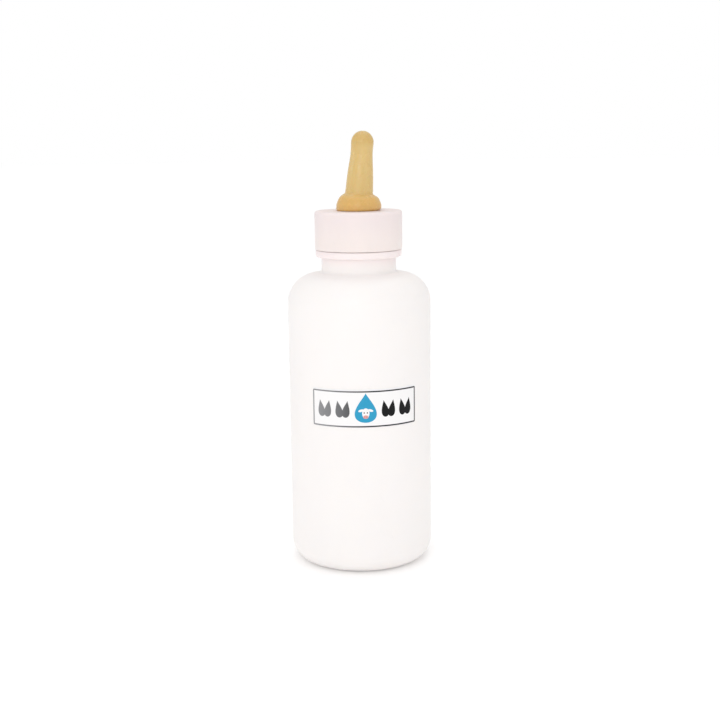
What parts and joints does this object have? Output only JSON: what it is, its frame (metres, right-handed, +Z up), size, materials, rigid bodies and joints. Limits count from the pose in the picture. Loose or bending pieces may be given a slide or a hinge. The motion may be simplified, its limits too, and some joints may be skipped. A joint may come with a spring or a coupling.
{
  "type": "calf feeding bottle",
  "caption": "Round white plastic feeding bottle with a screw cap that clamps a hollow, slightly leaning latex teat; the cap screws off and takes the teat with it.",
  "frame": {"origin": "centre of the base, on the plane that the bottle stands on", "axes": "+Z up along the bottle's axis, -Y towards the label, the teat leans towards +X"},
  "size_m": [0.088, 0.0882, 0.2669],
  "materials": {
    "bottle_plastic": "satin, slightly milky polyethylene",
    "cap_plastic": "satin polypropylene",
    "latex": "smooth amber latex",
    "label_film": "thin printed film"
  },
  "bodies": {
    "bottle": {"bottle": "bottle_plastic", "front_label": "label_film"},
    "teat": {"teat": "latex"},
    "cap": {"screw_cap": "cap_plastic"}
  },
  "joints": [
    {"name": "cap_lift", "type": "slide", "parent": "bottle", "child": "teat", "axis": [0, 0, 1], "range_m": [0, 0.03]},
    {"name": "cap_turn", "type": "hinge", "parent": "teat", "child": "cap", "pos_m": [0, 0, 0.2], "axis": [0, 0, 1], "range_deg": [0, 2160]}
  ],
  "couplings": [
    {"joint": "cap_lift", "follows": "cap_turn", "m_per_rad": 0.00079577}
  ]
}
